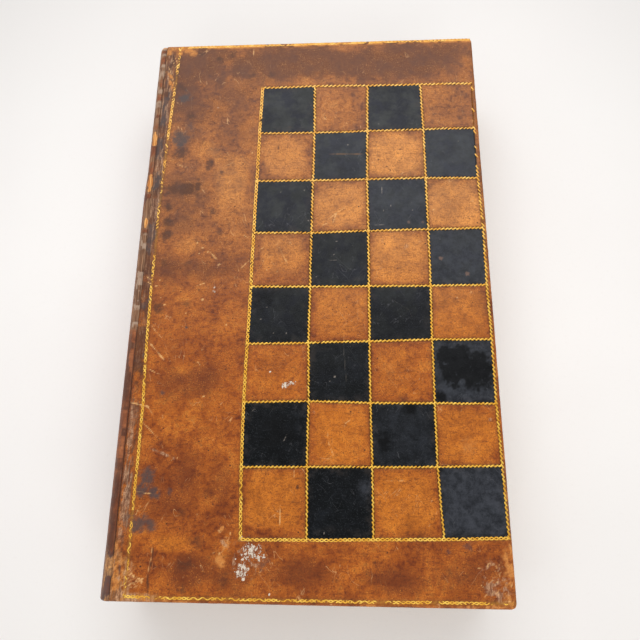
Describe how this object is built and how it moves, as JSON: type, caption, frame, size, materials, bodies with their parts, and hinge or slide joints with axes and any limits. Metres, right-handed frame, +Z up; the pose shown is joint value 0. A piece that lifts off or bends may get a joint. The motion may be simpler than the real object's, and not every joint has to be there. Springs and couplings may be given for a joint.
{
  "type": "book-form games box",
  "caption": "Book-form games box: two leather-bound trays hinged at the fore-edge, half a draughts board on each cover, backgammon board and pieces inside.",
  "frame": {"origin": "middle of the closed box's footprint, on the surface it stands on", "axes": "+X from the rounded spines to the hinged fore-edge, +Y along the book to its head, +Z up out of the top cover"},
  "size_m": [0.2786, 0.444, 0.076],
  "materials": {
    "cover_leather": "satin",
    "spine_leather": "satin",
    "rim_leather": "satin",
    "black_leather": "satin",
    "label_leather": "satin",
    "board": "matte",
    "wall_wood": "satin",
    "page_edges": "matte",
    "lining": "satin",
    "dark_points": "satin",
    "light_points": "satin",
    "brass": "satin",
    "dark_wood": "satin",
    "light_wood": "satin",
    "cup_leather": "satin",
    "bone": "satin"
  },
  "bodies": {
    "base": {"base_cover_board": "board", "base_cover_leather": "cover_leather", "base_black_squares": "black_leather", "base_head_wall": "wall_wood", "base_tail_wall": "wall_wood", "base_hinge_wall": "wall_wood", "base_spine_wall": "wall_wood", "base_page_edges": "page_edges", "base_rim_head": "rim_leather", "base_rim_tail": "rim_leather", "base_rim_spine": "rim_leather", "base_rim_hinge": "rim_leather", "base_spine_block": "wall_wood", "base_spine_leather": "spine_leather", "base_raised_bands": "spine_leather", "base_spine_labels": "label_leather", "base_lining": "lining", "base_dark_points": "dark_points", "base_light_points": "light_points", "hinge_leaves_base": "brass", "hinge_pins": "brass", "hinge_screws_base": "brass", "hook_studs": "brass", "dark_men": "dark_wood", "light_men": "light_wood", "dice_cup_a_wall": "cup_leather", "dice_cup_a_bottom": "black_leather", "dice_cup_b_wall": "cup_leather", "dice_cup_b_bottom": "black_leather", "dice": "bone"},
    "lid": {"lid_cover_board": "board", "lid_cover_leather": "cover_leather", "lid_black_squares": "black_leather", "lid_head_wall": "wall_wood", "lid_tail_wall": "wall_wood", "lid_hinge_wall": "wall_wood", "lid_spine_wall": "wall_wood", "lid_page_edges": "page_edges", "lid_rim_head": "rim_leather", "lid_rim_tail": "rim_leather", "lid_rim_spine": "rim_leather", "lid_rim_hinge": "rim_leather", "lid_spine_block": "wall_wood", "lid_spine_leather": "spine_leather", "lid_raised_bands": "spine_leather", "lid_spine_labels": "label_leather", "lid_lining": "lining", "lid_dark_points": "dark_points", "lid_light_points": "light_points", "hinge_leaves_lid": "brass", "hinge_screws_lid": "brass", "hook_pivot_screws": "brass"},
    "head_hook": {"head_hook": "brass"},
    "tail_hook": {"tail_hook": "brass"}
  },
  "joints": [
    {"name": "lid_hinge", "type": "hinge", "parent": "base", "child": "lid", "pos_m": [0.13712, 0, 0.038], "axis": [0, 1, 0], "range_deg": [0, 180]},
    {"name": "head_hook_pivot", "type": "hinge", "parent": "lid", "child": "head_hook", "pos_m": [-0.10443, 0.21835, 0.048], "axis": [0, 1, 0], "range_deg": [0, 90]},
    {"name": "tail_hook_pivot", "type": "hinge", "parent": "lid", "child": "tail_hook", "pos_m": [-0.10443, -0.21835, 0.048], "axis": [0, 1, 0], "range_deg": [0, 90]}
  ]
}
